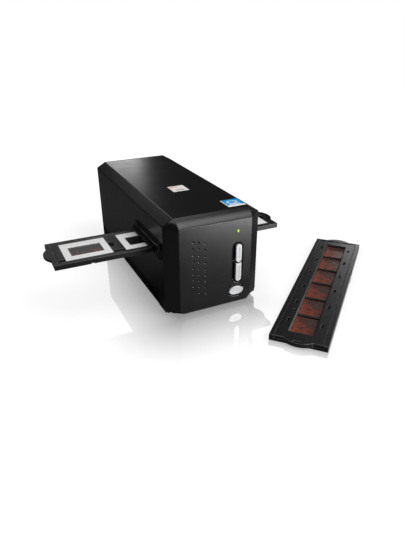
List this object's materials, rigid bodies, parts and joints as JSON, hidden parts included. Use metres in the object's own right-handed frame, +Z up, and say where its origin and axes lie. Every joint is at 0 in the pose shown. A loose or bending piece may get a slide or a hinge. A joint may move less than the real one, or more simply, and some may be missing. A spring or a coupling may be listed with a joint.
{
  "type": "film negative scanner",
  "caption": "Desktop 35 mm film scanner: long chamfered casing with a side-to-side film slot, sliding holder for framed slides, and a hinged film strip holder beside it.",
  "frame": {"origin": "middle of the casing's footprint, on the desk", "axes": "+X to the right as seen from the front, +Y to the back, +Z up"},
  "size_m": [0.4262, 0.3867, 0.1127],
  "materials": {
    "casing": "satin black moulded casing",
    "tray": "black moulded base",
    "inner_plastic": "black moulded inner frame",
    "holder": "dark grey moulded film holder",
    "button": "silver button",
    "surround": "black recess",
    "switch": "switch body",
    "board": "green circuit board",
    "steel": "bright steel",
    "bronze": "sintered bronze",
    "rubber": "soft rubber foot",
    "light_pipe": "green-yellow light pipe",
    "lens_metal": "black anodised lens tube",
    "mirror": "front-silvered mirror",
    "diffuser": "white diffuser",
    "nut": "natural plastic nut",
    "mount_card": "white slide mount",
    "film": "dark picture film",
    "negative": "amber negative film",
    "label": "printed sticker",
    "label_blue": "printed sticker",
    "cable": "flat cable"
  },
  "bodies": {
    "scanner": {"top_cover": "casing", "base_tray": "tray", "front_bezel": "casing", "rear_panel": "casing", "orange_label": "label", "blue_label": "label_blue", "left_slot_hood": "casing", "right_slot_hood": "casing", "left_flap_pin": "steel", "right_flap_pin": "steel", "scan_button_surround": "surround", "power_button_surround": "surround", "switch_housings": "switch", "button_board": "board", "board_screws": "steel", "status_led": "light_pipe", "led_light_pipe": "light_pipe", "case_screws": "steel", "rubber_feet": "rubber", "scan_chassis": "inner_plastic", "chassis_screws": "steel", "film_track": "inner_plastic", "track_screws": "steel", "detent_spring": "steel", "left_guide_rod": "steel", "right_guide_rod": "steel", "screw_bearings": "bronze", "stepper_motor": "steel", "main_board": "board", "usb_socket": "steel", "power_socket": "switch", "flat_cable": "cable"},
    "left_flap": {"left_dust_flap": "inner_plastic"},
    "right_flap": {"right_dust_flap": "inner_plastic"},
    "upper_button": {"upper_scan_button": "button", "upper_switch_plunger": "switch"},
    "lower_button": {"lower_scan_button": "button", "lower_switch_plunger": "switch"},
    "power_key": {"power_button": "button", "power_switch_plunger": "switch"},
    "carriage": {"carriage_housing": "inner_plastic", "carriage_lid": "inner_plastic", "carriage_nut": "nut", "folding_mirror": "mirror", "lens_barrel": "lens_metal", "sensor_board": "board", "lamp_arm": "inner_plastic", "lamp_housing": "lens_metal", "lamp_diffuser": "diffuser"},
    "screw": {"lead_screw": "steel"},
    "slides": {"slide_holder": "holder", "slide_mount_1": "mount_card", "slide_mount_2": "mount_card", "slide_mount_3": "mount_card", "slide_mount_4": "mount_card", "slide_films": "film"},
    "strip_base": {"strip_holder_base": "holder", "strip_hinge_pin": "steel", "negative_strip": "negative"},
    "strip_lid": {"strip_holder_lid": "holder"}
  },
  "joints": [
    {"name": "slide_holder_slide", "type": "slide", "parent": "scanner", "child": "slides", "axis": [1, 0, 0], "range_m": [-0.17, 0.122]},
    {"name": "left_flap_hinge", "type": "hinge", "parent": "scanner", "child": "left_flap", "pos_m": [-0.056, -0.0657, 0.078], "axis": [0, 1, 0], "range_deg": [0, 35]},
    {"name": "right_flap_hinge", "type": "hinge", "parent": "scanner", "child": "right_flap", "pos_m": [0.056, -0.0657, 0.078], "axis": [0, -1, 0], "range_deg": [0, 35]},
    {"name": "upper_button_press", "type": "slide", "parent": "scanner", "child": "upper_button", "axis": [0, 1, 0], "range_m": [0, 0.001], "stiffness_N_per_m": 1500, "springref_m": -0.0004},
    {"name": "lower_button_press", "type": "slide", "parent": "scanner", "child": "lower_button", "axis": [0, 1, 0], "range_m": [0, 0.001], "stiffness_N_per_m": 1500, "springref_m": -0.0004},
    {"name": "power_button_press", "type": "slide", "parent": "scanner", "child": "power_key", "axis": [0, 1, 0], "range_m": [0, 0.001], "stiffness_N_per_m": 1500, "springref_m": -0.0004},
    {"name": "carriage_slide", "type": "slide", "parent": "scanner", "child": "carriage", "axis": [0, -1, 0], "range_m": [0, 0.03]},
    {"name": "lead_screw_spin", "type": "hinge", "parent": "scanner", "child": "screw", "pos_m": [0.02, 0, 0.017], "axis": [0, 1, 0], "range_deg": [0, 1350.1]},
    {"name": "strip_holder_lift", "type": "slide", "parent": "scanner", "child": "strip_base", "axis": [0, 0, 1], "range_m": [0, 0.04]},
    {"name": "strip_lid_hinge", "type": "hinge", "parent": "strip_base", "child": "strip_lid", "pos_m": [0.23356, -0.05872, 0.0051], "axis": [-0.6678, 0.7443, 0], "range_deg": [0, 120]}
  ],
  "couplings": [
    {"joint": "lead_screw_spin", "follows": "carriage_slide", "rad_per_m": 785.4}
  ]
}
